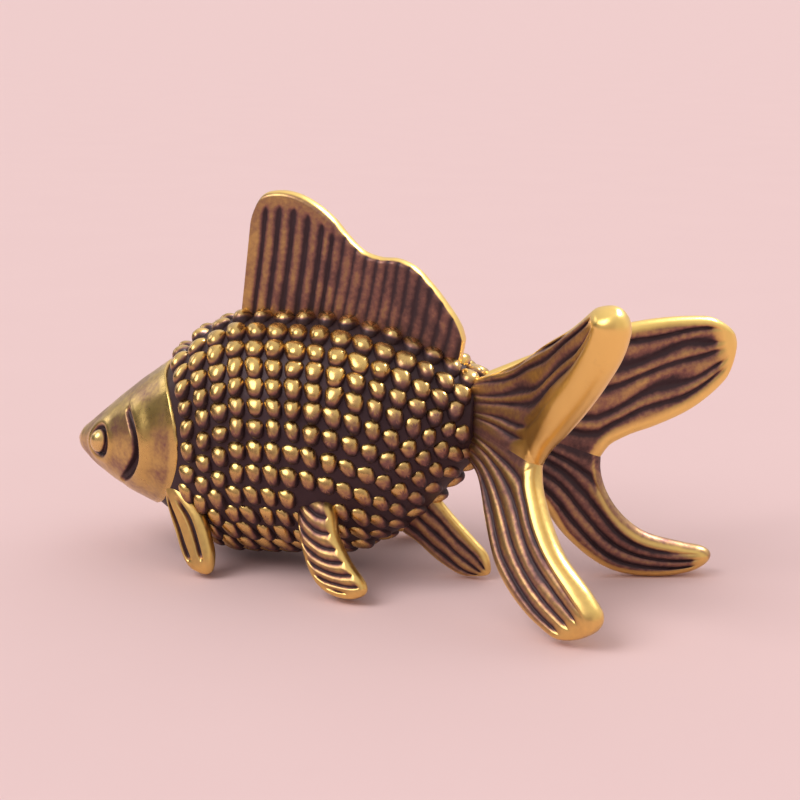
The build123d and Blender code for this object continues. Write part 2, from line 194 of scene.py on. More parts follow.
class Cast:
    """Points, faces and values of wear and painted light and shade of one cast piece, gathered before its
    mesh is made.
    """

    def __init__(self):
        self.points, self.faces, self.wear, self.count = [], [], [], 0

    def add(self, points, faces, wear):
        """Takes in points with their own faces and values of wear and painted light and shade."""
        self.points.append(np.asarray(points, float).reshape(-1, 3))
        self.wear.append(np.asarray(wear, float).ravel())
        self.faces += [[i + self.count for i in face] for face in faces]
        self.count += len(self.points[-1])

    def grid(self, points, wear, around=False, flip=False):
        """A grid of points as quads; around joins the last column to the first."""
        rows, cols = points.shape[:2]
        faces = []
        for r in range(rows - 1):
            for c in range(cols if around else cols - 1):
                d = (c + 1) % cols
                quad = [r * cols + c, r * cols + d, (r + 1) * cols + d, (r + 1) * cols + c]
                faces.append(quad[::-1] if flip else quad)
        self.add(points, faces, np.broadcast_to(wear, points.shape[:2]))

    def cap(self, ring, wear, flip=False):
        """A fan that closes a ring of points."""
        ring = np.asarray(ring, float)
        n = len(ring)
        points = np.vstack([ring, ring.mean(axis=0)])
        faces = [[k, (k + 1) % n, n] for k in range(n)]
        self.add(points, [f[::-1] if flip else f for f in faces], np.full(n + 1, wear))

    def finish(self, name, node, material):
        """Makes the mesh object that stands for a CAD node."""
        mesh = bpy.data.meshes.new(name)
        points = np.vstack(self.points) * MM + NOSE
        mesh.from_pydata(points.tolist(), [], self.faces)
        wear = mesh.attributes.new("wear", "FLOAT", "POINT")
        wear.data.foreach_set("value", np.concatenate(self.wear))
        welded(mesh)
        mesh.materials.append(material)
        obj = bpy.data.objects.new(name, mesh)
        bpy.context.scene.collection.objects.link(obj)
        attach(obj, "root")
        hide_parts(node)
        return obj


def welded(mesh):
    """Joins points that lie on each other and turns all faces outwards."""
    bm = bmesh.new()
    bm.from_mesh(mesh)
    bmesh.ops.remove_doubles(bm, verts=bm.verts, dist=WELD_GAP)
    bmesh.ops.dissolve_degenerate(bm, edges=bm.edges, dist=SLIVER)
    bmesh.ops.recalc_face_normals(bm, faces=bm.faces)
    for face in bm.faces:
        face.smooth = True
    bm.to_mesh(mesh)
    bm.free()


def oval_points(table, x, turn):
    """Points on the ovals of a table; turn 0 is the back, a quarter turn the left side."""
    x, turn = np.broadcast_arrays(x, turn)
    low, high, half = np.moveaxis(smooth(table, x), -1, 0)
    height = (low + high) / 2 + (high - low) / 2 * np.cos(turn)
    return np.stack([x, -half * np.sin(turn), height], -1)


def gill_place(table, turn, extra=0.0):
    """Where the ovals of a table meet the edge of the gill cover, for each turn."""
    low, high = np.full(turn.shape, GILL[0]), np.full(turn.shape, GILL_LIMIT)
    for _ in range(GILL_HALVINGS):
        middle = (low + high) / 2
        p = oval_points(table, middle, turn)
        inside = np.hypot(p[..., 0] - GILL[0], p[..., 2] - GILL[1]) < GILL[2] + extra
        low, high = np.where(inside, middle, low), np.where(inside, high, middle)
    return (low + high) / 2


# Finish: dark patina in the hollows, rubbed brass on what stands out, and the painted light and shade that
# the same attribute carries.
def link(tree, source, out, target, into):
    """Joins an output of one node to an input of another."""
    tree.links.new(source.outputs[out], target.inputs[into])


def map_range(tree, source, out, start, end=(0.0, 1.0)):
    """A node that maps the stretch start of a value to the stretch end."""
    node = tree.nodes.new("ShaderNodeMapRange")
    names = ("From Min", "From Max", "To Min", "To Max")
    for name, value in zip(names, (*start, *end)):
        node.inputs[name].default_value = value
    link(tree, source, out, node, "Value")
    return node


def weighted(tree, source, out, weight, other, other_out):
    """A node that gives source times weight plus other."""
    node = tree.nodes.new("ShaderNodeMath")
    node.operation = "MULTIPLY_ADD"
    node.inputs[1].default_value = weight
    link(tree, source, out, node, 0)
    link(tree, other, other_out, node, 2)
    return node


def noise_at(tree, place, scale, detail):
    """Noise over the object, with its scale per metre."""
    noise = tree.nodes.new("ShaderNodeTexNoise")
    noise.inputs["Scale"].default_value = scale
    noise.inputs["Detail"].default_value = detail
    link(tree, place, "Object", noise, "Vector")
    return noise


def colour_mix(tree, factor, out):
    """A mix of two colours, led by a value."""
    node = tree.nodes.new("ShaderNodeMix")
    node.data_type = "RGBA"
    link(tree, factor, out, node, "Factor")
    return node


# Cloudy and grainy noise: scale, detail and weight beside the attribute of wear and painted light and
# shade.
CLOUD = (420, 5, 0.34)
GRAIN = (2600, 4, 0.3)
# Worn values over which patina gives way to metal, and over which the metal goes from deep to gold.
BARE_STRETCH = (0.45, 0.97)
POLISH_STRETCH = (0.7, 1.55)
PATINA, HALF_WORN = (0.056, 0.031, 0.036), (0.25, 0.115, 0.092)
# Shares of bareness over which patina turns half worn, and half worn turns to metal.
PATINA_STRETCH, METAL_STRETCH = (0.0, 0.5), (0.45, 1.0)
PATINA_METALLIC, PATINA_ROUGHNESS, GRAIN_ROUGHNESS = 0.55, 0.5, 0.16
COAT_ROUGHNESS, SPECULAR = 0.14, 0.3
BUMP_STRENGTH, BUMP_DISTANCE = 0.16, 0.00006


def brass(name, gold, deep, rough, coat):
    """Antique brass: the attribute of wear and painted light and shade, with fine noise, shares the
    surface between patina and metal.
    """
    material = bpy.data.materials.new(name)
    material.use_nodes = True
    tree = material.node_tree
    shader = tree.nodes["Principled BSDF"]
    shader.inputs["Coat Weight"].default_value = coat
    shader.inputs["Coat Roughness"].default_value = COAT_ROUGHNESS
    shader.inputs["Specular IOR Level"].default_value = SPECULAR
    place = tree.nodes.new("ShaderNodeTexCoord")
    wear = tree.nodes.new("ShaderNodeAttribute")
    wear.attribute_name = "wear"
    cloud = noise_at(tree, place, *CLOUD[:2])
    grain = noise_at(tree, place, *GRAIN[:2])
    speck = weighted(tree, grain, "Fac", GRAIN[2], wear, "Fac")
    worn_and_lit = weighted(tree, cloud, "Fac", CLOUD[2], speck, "Value")
    share = map_range(tree, worn_and_lit, "Value", BARE_STRETCH)
    share.interpolation_type = "SMOOTHSTEP"
    polish_and_highlight = map_range(tree, worn_and_lit, "Value", POLISH_STRETCH)
    tone = colour_mix(tree, polish_and_highlight, "Result")
    tone.inputs["A"].default_value = (*deep, 1)
    tone.inputs["B"].default_value = (*gold, 1)
    dark = colour_mix(tree, map_range(tree, share, "Result", PATINA_STRETCH), "Result")
    dark.inputs["A"].default_value = (*PATINA, 1)
    dark.inputs["B"].default_value = (*HALF_WORN, 1)
    colour = colour_mix(tree, map_range(tree, share, "Result", METAL_STRETCH), "Result")
    link(tree, dark, "Result", colour, "A")
    link(tree, tone, "Result", colour, "B")
    link(tree, colour, "Result", shader, "Base Color")
    metal = map_range(tree, share, "Result", (0.0, 1.0), (PATINA_METALLIC, 1.0))
    link(tree, metal, "Result", shader, "Metallic")
    dull = map_range(tree, share, "Result", (0.0, 1.0), (PATINA_ROUGHNESS, rough))
    rub = weighted(tree, grain, "Fac", GRAIN_ROUGHNESS, dull, "Result")
    link(tree, rub, "Value", shader, "Roughness")
    bump = tree.nodes.new("ShaderNodeBump")
    bump.inputs["Strength"].default_value = BUMP_STRENGTH
    bump.inputs["Distance"].default_value = BUMP_DISTANCE
    link(tree, grain, "Fac", bump, "Height")
    link(tree, bump, "Normal", shader, "Normal")
    return material


GOLD, BRONZE = (0.94, 0.65, 0.20), (0.44, 0.26, 0.11)
scaled_brass = brass("scaled_brass", GOLD, BRONZE, rough=0.18, coat=0.1)
smooth_brass = brass("smooth_brass", (0.92, 0.64, 0.2), (0.5, 0.335, 0.12), rough=0.2, coat=0.1)
fin_brass = brass("fin_brass", GOLD, BRONZE, rough=0.24, coat=0.1)
eye_brass = brass("eye_brass", (0.84, 0.61, 0.25), (0.66, 0.44, 0.15), rough=0.2, coat=0.2)


# Body: a smooth dark skin with one raised scale on every seat of the lattice.
def body_skin(piece):
    """The dark skin between the scales, closed at both ends."""
    turn = np.linspace(0, 2 * np.pi, 220, endpoint=False)
    start = gill_place(BODY_ROWS, turn, -GILL_OVERLAP)
    share = np.linspace(0, 1, 160)[:, None]
    x = start[None] + (BODY_ROWS[-1][0] - start[None]) * share
    skin = oval_points(BODY_ROWS, x, turn[None])
    piece.grid(skin, 0.0, around=True)
    piece.cap(skin[0], 0.0, flip=True)
    piece.cap(skin[-1], 0.0)


def scale_seats():
    """Seats of the scales: place along the body, turn, size, and whether they lie on the mid-plane."""
    first = BODY_ROWS[0][0] + SCALE_START
    last = BODY_ROWS[-1][0] + SCALE_LEAN + SCALE_TAIL_ROOM
    turn = np.linspace(0, np.pi, 400)
    start = first
    while start < last:
        part = (start - first) / (last - first)
        crowd = 1 - SCALE_CROWD * step_between(0.5, 1.0, part)
        bulge = SCALE_BULGE * (1 - part) * np.sin(turn) ** 2
        x = start + bulge - SCALE_LEAN * part * (1 - np.cos(turn)) / 2
        p = oval_points(BODY_ROWS, np.clip(x, BODY_ROWS[0][0], BODY_ROWS[-1][0]), turn)
        close = np.interp(np.degrees(turn[1:]), *SCALE_CLOSE)
        run = np.concatenate([[0], np.cumsum(np.linalg.norm(np.diff(p, axis=0), axis=1) * close)])
        pitch = SCALE_PITCH[1] * (1 + crowd) / 2
        first_row = (ROW_START[0] if scale_free(p[0]) else ROW_START[1]) * pitch
        rows = np.arange(first_row, run[-1] - ROW_END * pitch, pitch)
        seats = [(0.0, True), *((at, False) for at in rows)]
        if run[-1] - rows[-1] > KEEL_ROOM * pitch:
            seats.append((run[-1], True))
        for at, single in seats:
            yield np.interp(at, run, x), np.interp(at, run, turn), crowd**0.25, single
        start += SCALE_PITCH[0] * crowd


def scale_free(point):
    """Whether a seat is clear of the gill cover, the tail root and the fins."""
    x, y, z = point
    if math.hypot(x - GILL[0], z - GILL[1]) < GILL[2] + SCALE_CLEAR_GILL:
        return False
    if x > BODY_ROWS[-1][0] - SCALE_CLEAR_TAIL:
        return False
    front, end, half, height = DORSAL_ROOT
    if z > height and abs(y) < half and front < x < end:
        return False
    for *root, reach in FIN_ROOTS:
        if math.dist((x, abs(y), z), root) < reach:
            return False
    return True


def scale_dome(piece, centre, along, down, out, size, tall, broad, shade, rng):
    """One cast scale: a kernel that is blunt above and pointed below, leaning to the tail."""
    ring = np.linspace(0, 2 * np.pi, 22, endpoint=False)
    reach = np.array(SCALE_RINGS)[:, None]
    corner = np.abs(np.cos(ring)) ** SCALE_SQUARE + np.abs(np.sin(ring)) ** SCALE_SQUARE
    square = corner ** (-1 / SCALE_SQUARE)
    u, v = reach * square * np.cos(ring), reach * square * np.sin(ring)
    up, below = max(out[2], 0), max(-out[2], 0)
    wide = size * broad * SCALE_HALF[0] * (1 - SCALE_TAPER * v) * (1 + SIZE_SPREAD * rng.standard_normal())
    long = size * tall * SCALE_HALF[1] * (1 + SIZE_SPREAD * rng.standard_normal())
    # Flat along the ridge ahead of the dorsal fin, low under the belly.
    ridge = step_between(*RIDGE_FACING, out[2]) * (1 - step_between(*RIDGE_END, centre[0]))
    lift = 1 + BACK_LIFT * up - RIDGE_FLAT * ridge - BELLY_DROP * below
    profile = (1 - reach ** SCALE_DOME[0]) ** SCALE_DOME[1]
    rise = SCALE_RELIEF * size * lift * profile * (1 + RELIEF_SPREAD * rng.standard_normal())
    rise = rise * (1 + 0.2 * v + 0.14 * u) - SCALE_FOOT
    slant = SCALE_SLANT + BELLY_SLANT * below + SLANT_SPREAD * rng.standard_normal()
    dome = (
        centre
        + (u * wide + v * long * slant)[..., None] * along
        + (v * long)[..., None] * down
        + rise[..., None] * out
    )
    # The middle is rubbed bare and the foot keeps its patina; the upper part is painted lighter and the
    # lower flank painted darker, as light and shade from above.
    bare_and_lit = step_between(0.02, 0.46, 1 - reach**1.8 + 0.35 * np.maximum(-v, 0))
    # Painted highlight on the back rows, painted shade under the belly and shade at the rear.
    worn_and_lit = bare_and_lit * BARE_TOP - PAINTED_FLANK_SHADE * v + BACK_PAINTED_HIGHLIGHT * max(broad - 1, 0) - shade
    piece.grid(dome, worn_and_lit + WEAR_SPREAD * rng.standard_normal(), around=True)
    piece.cap(dome[-1], float(worn_and_lit[-1].mean()))


def surface_at(table, x, turn):
    """Point on the ovals of a table, with the directions along, down and out of the surface."""
    centre = oval_points(table, x, turn)
    along = unit(oval_points(table, x + NEAR, turn) - oval_points(table, x - NEAR, turn))
    down = unit(oval_points(table, x, turn + NEAR) - oval_points(table, x, turn - NEAR))
    return centre, along, down, unit(np.cross(down, along))


def body_piece():
    """The body with its scales: single ones on the mid-plane, the others in mirrored pairs."""
    rng = np.random.default_rng(11)
    piece = Cast()
    body_skin(piece)
    for x, turn, size, single in scale_seats():
        centre, along, down, out = surface_at(BODY_ROWS, x, turn)
        if not scale_free(centre):
            continue
        out = out if out[1] * centre[1] >= 0 else -out
        upper = step_between(0.25, 0.9, math.cos(turn))
        lower = step_between(0.2, 0.8, -math.cos(turn))
        tall = 1.0 if single else 1 + BACK_TALL * math.cos(turn) ** 2
        broad = 1 + BACK_BROAD * upper - BELLY_NARROW * lower
        # Painted shade under the belly; shade at the rear.
        shade = BELLY_SHADE * max(-out[2], 0) + REAR_SHADE * step_between(*REAR_PLACES, x)
        for side in (1,) if single else (1, -1):
            flip = np.array([1, side, 1])
            seat = [vector * flip for vector in (centre, along, down, out)]
            scale_dome(piece, *seat, size, tall, broad, shade, rng)
    return piece.finish("body_casting", "body", scaled_brass)


# Head: a smooth cone with a curved cheek groove, eye rings and a rounded gill edge.
def head_piece():
    """The head, from the rounded nose to the lip behind the gill edge."""
    turn = np.linspace(0, 2 * np.pi, 260, endpoint=False)
    end = gill_place(HEAD_ROWS, turn)
    share = np.linspace(0, 1, 210)[:, None] ** 1.1
    x = end[None] * share
    skin = oval_points(HEAD_ROWS, x, turn[None])
    blunt = np.sqrt(1 - (1 - np.clip(x / NOSE_ROUND, 0, 1)) ** 2)
    middle = skin[0].mean(axis=0)
    axis = np.array([0.0, middle[1], middle[2]])
    skin[..., 1:] = axis[1:] + (skin[..., 1:] - axis[1:]) * np.where(x < NOSE_ROUND, blunt, 1)[..., None]
    out = unit(np.cross(np.gradient(skin, axis=1), np.gradient(skin, axis=0)))
    out = out * np.sign((out * (skin - HEAD_MIDDLE)).sum(-1, keepdims=True))
    wear = HEAD_WEAR + HEAD_CLOUD * wavy(skin[..., 0] * 0.9, skin[..., 2] * 0.8, skin[..., 1] * 0.7)

    path = curve(CHEEK_GROOVE, np.linspace(0, 1, 60))
    mirrored = skin * np.where(skin[..., 1:2] > 0, [1, -1, 1], 1)
    gaps = np.linalg.norm(mirrored[..., None, :] - path, axis=-1)
    place, away = gaps.argmin(-1) / (len(path) - 1), gaps.min(-1)
    full = np.sin(np.pi * np.clip(place * 0.88 + 0.08, 0, 1)) ** 0.55
    groove = full * np.exp(-((away / (GROOVE_WIDTH[0] + GROOVE_WIDTH[1] * full)) ** 4))
    behind = mirrored[..., 0] > path[gaps.argmin(-1), 0]
    plate = CHEEK_RISE * full * behind * step_between(0.1, 0.5, away) * (1 - step_between(0.7, 2.2, away))
    seat = eye_seat()[0]
    eye_gap = np.linalg.norm(mirrored - seat, axis=-1)
    ring = np.exp(-(((eye_gap - EYE_RING[0]) / EYE_RING[1]) ** 2))
    pad = EYE_PAD[2] * np.exp(-(((eye_gap - EYE_PAD[0]) / EYE_PAD[1]) ** 2))
    hammer = HAMMER_DEPTH * wavy(skin[..., 0] * 1.9, skin[..., 2] * 1.6 + skin[..., 1], skin[..., 1] * 2.1)
    skin = skin + out * (pad + plate + hammer - GROOVE_DEPTH * groove - EYE_RING[2] * ring)[..., None]
    wear = wear - 0.9 * groove - 0.8 * ring + pad + 0.5 * plate
    edge = step_between(0.93, 0.985, share + 0 * x)
    wear = wear + 0.2 * edge

    piece = Cast()
    piece.grid(skin, wear, around=True)
    lip = [skin[-1]]
    for back, inset in LIP:
        lip.append(skin[-1] - out[-1] * inset + np.array([back, 0, 0]))
    lip = np.array(lip)
    piece.grid(lip, np.array(LIP_WEAR)[:, None], around=True)
    piece.cap(lip[-1], 0.0)
    piece.cap(skin[0], 0.6, flip=True)
    return piece.finish("head_casting", "head", smooth_brass)


def eye_seat():
    """Middle of the left eye on the head, with the directions along, down and out of the skin."""
    low, high, _ = smooth(HEAD_ROWS, np.array(EYE[0]))
    turn = math.acos((EYE[1] - (low + high) / 2) / ((high - low) / 2))
    centre, along, down, out = surface_at(HEAD_ROWS, EYE[0], turn)
    return centre, along, down, out if out[1] < 0 else -out


def eye_piece(name, node, side):
    """A raised oval bead in the eye ring."""
    centre, along, down, out = eye_seat()
    ring = np.linspace(0, 2 * np.pi, 40, endpoint=False)
    polar = np.linspace(0, np.pi, 22)[:, None]
    u, v, w = np.sin(polar) * np.cos(ring), np.sin(polar) * np.sin(ring), np.cos(polar) + 0 * ring
    a, b, c = EYE_RADIUS
    across = (u * a)[..., None] * along + (v * b)[..., None] * down
    bead = centre + across + (w * c - EYE_SINK)[..., None] * out
    wear = 0.15 + 0.7 * step_between(-0.1, 0.6, w)
    piece = Cast()
    piece.grid(bead * np.array([1, side, 1]), wear, around=True)
    return piece.finish(name, node, eye_brass)


# Fins: thick sheets between two edge curves, with a round smooth rim and grooves inside it.
FIN_WEAR, FIN_GROOVE_DARK, FIN_SEAM_DARK, FIN_SPECK = 0.84, 0.8, 0.2, 0.06
DORSAL_THICK, DORSAL_THINNING, DORSAL_SINK = 1.75, 0.25, 1.0
DORSAL_GROOVE, DORSAL_RIM = 0.3, (0.2, 0.16, 0.16)
# Grooves of the dorsal fin: where they start and turn fine, and the pitches before and after.
DORSAL_FIRST, DORSAL_FINE, DORSAL_PITCH = 16.2, 21.0, (1.2, 0.9)
PECTORAL_THICK, PELVIC_THICK, PELVIC_ROOT, ANAL_THICK = 1.4, 1.45, 0.8, 1.5
TAIL_THICK, LOWER_BULK = 1.6, 0.6


def fin_sheet(
    piece,
    front,
    rear,
    thick,
    grooves,
    rim,
    tip=(0.8, 2.4),
    closed=False,
    seam=None,
    dim=0.3,
    fillet=9.0,
    polish_and_highlight=0.15,
    tarnish=0.0,
):
    """Adds a fin. grooves(s, t, side) gives the depth share of the grooves at each place of a face.

    rim holds the smooth widths along the front, rear and end. A seam gives the share of the rear edge that
    another lobe shares, the points of the free edges after it, and the faces' direction along it. tip is
    where the end starts to narrow and how square it is. dim darkens the inside, partly as painted shade on
    the right tail lobes; polish brightens the rim as rubbed brass with a painted highlight; tarnish
    darkens the rear edge, and fillet limits how far the edges are rounded.
    """
    start = 0.0 if closed else tip[0]
    s = np.linspace(0, 1, 220)
    if not closed:
        even_part = np.linspace(0, start, 110)[:-1]
        tip_part = start + (1 - start) * np.sin(np.linspace(0, np.pi / 2, 26))
        s = np.concatenate([even_part, tip_part])
    if seam:
        s = np.union1d(s, seam[0])
    t = (1 - np.cos(np.pi * np.linspace(0, 1, 80))) / 2
    a, b = front(s), rear(s)
    width = np.linalg.norm(b - a, axis=1)[:, None]
    soft = b
    if seam:
        reach = np.minimum(0.12, np.minimum(s, 1 - s))
        soft = np.mean([rear(s + share * reach) for share in np.linspace(-1, 1, 15)], axis=0)
    mid = a[:, None] * (1 - t)[None, :, None] + soft[:, None] * t[None, :, None]
    mid = mid + (b - soft)[:, None] * (t**6)[None, :, None]
    normal = unit(np.cross(np.gradient(mid, s, axis=0), np.gradient(mid, t, axis=1)))
    past = np.clip((s - start) / (1 - start), 0, 1)
    narrow = 1 + 0 * width if closed else np.maximum(1 - past ** tip[1], 0)[:, None] ** (1 / tip[1])
    centre = (a + b)[:, None] / 2
    sheet = centre + (mid - centre) * narrow[..., None]
    spine = (a + b) / 2
    run = np.concatenate([[0], np.cumsum(np.linalg.norm(np.diff(spine, axis=0), axis=1))])
    gaps = [
        t[None] * width * narrow,
        (1 - t)[None] * width * narrow,
        (run[-1] - run)[:, None] + 0 * width * t,
    ]
    if closed:
        gaps.append(run[:, None] + 0 * gaps[0])
    blend = 0.0
    if seam:
        joint, free, facing = seam
        near = np.linalg.norm(sheet[:, :, None] - free, axis=-1).min(-1)
        gaps[1] = np.where((s < joint - 1e-9)[:, None], near, np.minimum(near, gaps[1]))
        shared = (1 - step_between(joint, joint + 0.1, s))[:, None]
        lead = (shared * step_between(0.5, 1, t))[..., None]
        normal = unit(normal + (facing(s)[:, None] - normal) * lead)
        blend = shared * step_between(0.86, 0.98, t)
    gap = np.minimum.reduce(gaps if closed else gaps[:2])
    edge_loss = tarnish * (1 - step_between(0.5, 0.75, gaps[1]))
    body = thick(s[:, None], t[None], gaps[1]) / 2 * narrow
    to_edge = 1 - np.clip(gap / (np.minimum(body, fillet) + 1e-9), 0, 1)
    round_off = np.sqrt(np.maximum(1 - to_edge**2, 0))
    inside = 1.0
    for edge_gap, edge_rim in zip(gaps, (*rim, rim[-1])):
        edge_rim = np.interp(s, (0, 1), np.broadcast_to(edge_rim, 2))[:, None]
        inside = inside * step_between(edge_rim * 0.5, edge_rim * 1.2, edge_gap)
    roots = []
    for side in (1, -1):
        deep, depth = grooves(s[:, None], t[None], side)
        deep = deep * inside * (1 - blend)
        face = sheet + normal * (side * (body * round_off - depth * deep))[..., None]
        shade = np.interp(s, (0, 1), np.broadcast_to(dim, 2))[:, None]
        speck = wavy(s[:, None] * 9, t[None] * 7, s[:, None] * 5 + t[None] * 4)
        # Lighter rim as rubbed brass with a painted highlight; darker inside, partly painted shade on the
        # right tail lobes.
        worn_and_lit = FIN_WEAR + polish_and_highlight * (1 - inside) - FIN_GROOVE_DARK * deep - shade * inside
        worn_and_lit = worn_and_lit - FIN_SEAM_DARK * blend - edge_loss
        piece.grid(face, worn_and_lit + FIN_SPECK * speck, flip=side < 0)
        roots.append(face[0])
    if not closed:
        piece.grid(np.stack(roots), 0.0)


def lines(count, depth, sharp=0.7, sway=0.25, seed=0.0):
    """Grooves along a fin, between rounded ribs that sway a little."""

    def grooves(s, t, side):
        phase = count * t + sway * wavy(s * 4 + seed, s * 7 + t * 3 + side + seed, t * 6 + seed)
        fade_in = 0.3 + 0.7 * step_between(0.05, 0.32, s)
        return (1 - np.abs(np.sin(np.pi * phase)) ** sharp) * fade_in, depth

    return grooves


def slits(places, depth):
    """A few long grooves along a fin, each at a share of its width and with a half width."""

    def grooves(s, t, side):
        deep = 0 * s * t
        for place, half, start, end in places:
            away = np.abs(t - place - 0.05 * np.sin(4 * s + 9 * place)) / half
            keep = step_between(start, start + 0.12, s) * (1 - step_between(end - 0.1, end, s))
            deep = np.maximum(deep, keep * (1 - step_between(0.35, 1.0, away)))
        return deep, depth

    return grooves


def bars(count, depth, sharp=0.8, bend=0.0, sway=0.1):
    """Grooves across a fin, which sweep by a share of its length towards the tip at the rear edge."""

    def grooves(s, t, side):
        phase = count * (s - bend * (2 * t - t * t)) + sway * wavy(t * 5, s * 9 + side)
        return 1 - np.abs(np.sin(np.pi * phase)) ** sharp + 0 * t, depth

    return grooves


def even(value):
    """The same thickness all over a fin."""

    def thick(s, t, gap):
        return value + 0 * gap

    return thick


# Top edge of the dorsal fin: place along the fish and height.
DORSAL_TOP = [
    (16.28, 26.8),
    (16.6, 28.25),
    (17.4, 29.5),
    (18.7, 29.8),
    (20.2, 29.6),
    (21.63, 28.95),
    (23.06, 27.9),
    (24.3, 26.55),
    (25.73, 25.35),
    (27.0, 25.0),
    (28.4, 24.95),
    (29.8, 24.4),
    (31.03, 23.25),
    (32.26, 21.8),
    (33.5, 19.9),
    (33.8, 18.9),
]


def dorsal_piece():
    """The dorsal fin: wide grooves in front, fine ones behind, and a rubbed rim with a painted highlight.
    """
    top = [(x, 0, z) for x, z in DORSAL_TOP]

    def rear(s):
        return curve(top, s)

    def front(s):
        edge = curve(top, s)
        x = edge[:, 0] - 1.08 + 0.58 * s
        back = smooth(BODY_ROWS, x)[:, 1]
        return np.stack([x, 0 * x, back - DORSAL_SINK], -1)

    def thick(s, t, gap):
        return DORSAL_THICK - DORSAL_THINNING * t + 0 * gap

    def grooves(s, t, side):
        x = front(s[:, 0])[:, 0][:, None] - 0.2 - 0.5 * t
        wide_count = (x - DORSAL_FIRST) / DORSAL_PITCH[0]
        fine_count = (DORSAL_FINE - DORSAL_FIRST) / DORSAL_PITCH[0] + (x - DORSAL_FINE) / DORSAL_PITCH[1]
        count = np.where(x < DORSAL_FINE, wide_count, fine_count)
        count = count + 0.05 * wavy(t * 5, s * 9 + side)
        fine = step_between(4.5, 6.5, count)
        short = 1 - (1 - fine) * step_between(0.84, 0.92, t)
        short = short * step_between(-0.6, -0.4, count)
        return (1 - np.abs(np.sin(np.pi * count)) ** 0.5) * (1 - 0.55 * fine) * short, DORSAL_GROOVE

    piece = Cast()
    look = dict(dim=(0.33, 0.53), fillet=0.45, polish_and_highlight=0.5)
    fin_sheet(piece, front, rear, thick, grooves, DORSAL_RIM, closed=True, **look)
    return piece.finish("dorsal_fin_casting", "dorsal_fin", fin_brass)


def edge_of(points):
    """An edge curve of a fin, as a function of the share of its length."""

    def edge(s):
        return curve(points, s)

    return edge


# Front and rear edges of the left small fins, from root to tip.
PECTORAL = (
    [(10.45, -4.0, 7.0), (10.8, -5.0, 5.9), (12.0, -6.0, 3.13), (13.5, -6.9, 0.7), (14.7, -7.3, 0.05)],
    [(11.3, -4.2, 8.3), (12.1, -5.3, 7.2), (14.44, -6.3, 4.9), (15.37, -6.8, 2.8), (15.95, -7.3, 0.9)],
)
PELVIC = (
    [(21.8, -4.6, 6.6), (22.58, -6.2, 5.5), (23.42, -7.4, 3.2), (24.72, -8.3, 1.3), (27.0, -9.1, 0.05)],
    [(25.0, -4.8, 7.7), (25.75, -6.6, 6.4), (26.26, -7.4, 4.85), (27.4, -8.1, 3.3), (29.9, -9.3, 1.2)],
)
ANAL = (
    [
        (27.6, 0.0, 5.2),
        (28.5, 0.0, 3.5),
        (29.9, 0.0, 2.6),
        (31.9, 0.0, 1.1),
        (33.8, 0.0, 0.2),
        (35.3, 0.0, 0.1),
    ],
    [
        (30.3, 0.0, 8.0),
        (31.3, 0.0, 6.8),
        (33.0, 0.0, 4.9),
        (34.6, 0.0, 3.3),
        (35.75, 0.0, 2.1),
        (36.4, 0.0, 0.8),
    ],
)
# Grooves of the pectoral fins: share of the width, half width, start and end.
PECTORAL_SLITS = ((0.27, 0.1, 0.2, 0.84), (0.62, 0.1, 0.28, 0.9))
PECTORAL_RIM, PELVIC_RIM, ANAL_RIM = (0.3, 0.5, 0.9), ((0.1, 0.9), 0.5, 0.8), (0.3, 0.35, 0.6)


def small_fin(name, node, shape, side, thick, grooves, rim, dim):
    """A fin on its own root; side -1 mirrors it."""
    flip = np.array([1, side, 1])
    front, rear = (np.array(edge) * flip for edge in shape)
    piece = Cast()
    fin_sheet(piece, edge_of(front), edge_of(rear), thick, grooves, rim, dim=dim)
    return piece.finish(name, node, fin_brass)


# Tail: each half is an upper and a lower lobe that flare from one root.
LEFT_SEAM = [(34.4, -0.95, 13.0), (38.0, -3.5, 12.15), (41.5, -6.1, 11.35)]
LEFT_UPPER = (
    [(34.4, -0.95, 16.0), (39.3, -3.4, 18.3), (42.2, -6.2, 20.5), (44.7, -9.0, 22.3), (47.2, -11.8, 24.6)],
    [
        (42.1, -6.6, 12.4),
        (43.4, -7.7, 13.9),
        (45.1, -9.0, 15.9),
        (46.9, -10.5, 18.3),
        (48.5, -11.9, 20.9),
        (49.4, -12.6, 23.6),
    ],
)
LEFT_LOWER = (
    [
        (34.4, -0.95, 10.4),
        (36.2, -3.0, 9.1),
        (37.5, -5.4, 6.6),
        (39.4, -8.4, 3.6),
        (42.0, -10.6, 1.6),
        (45.2, -12.0, 0.0),
    ],
    [(41.7, -6.8, 10.3), (42.4, -7.8, 8.9), (44.2, -9.8, 6.3), (46.8, -11.8, 4.1), (48.6, -12.7, 2.1)],
)
RIGHT_SEAM = [(34.4, 0.95, 13.0), (38.9, 3.1, 11.2), (43.3, 5.2, 9.4)]
RIGHT_UPPER = (
    [(34.4, 0.95, 16.0), (39.7, 2.9, 18.2), (44.9, 6.0, 19.9), (49.5, 9.4, 20.2), (52.1, 11.2, 19.9)],
    [
        (43.8, 5.6, 10.2),
        (44.9, 6.5, 10.9),
        (46.7, 7.8, 11.5),
        (49.7, 9.9, 13.0),
        (51.6, 11.3, 14.9),
        (52.7, 12.0, 16.8),
    ],
)
RIGHT_LOWER = (
    [
        (34.4, 0.95, 10.4),
        (39.5, 1.8, 6.2),
        (41.2, 2.8, 3.4),
        (44.7, 4.3, 0.5),
        (48.7, 5.6, 0.05),
        (51.6, 7.0, 0.6),
    ],
    [(43.35, 5.0, 8.5), (43.8, 4.9, 7.0), (46.4, 5.7, 3.7), (49.2, 6.8, 2.65), (52.0, 7.7, 2.2)],
)
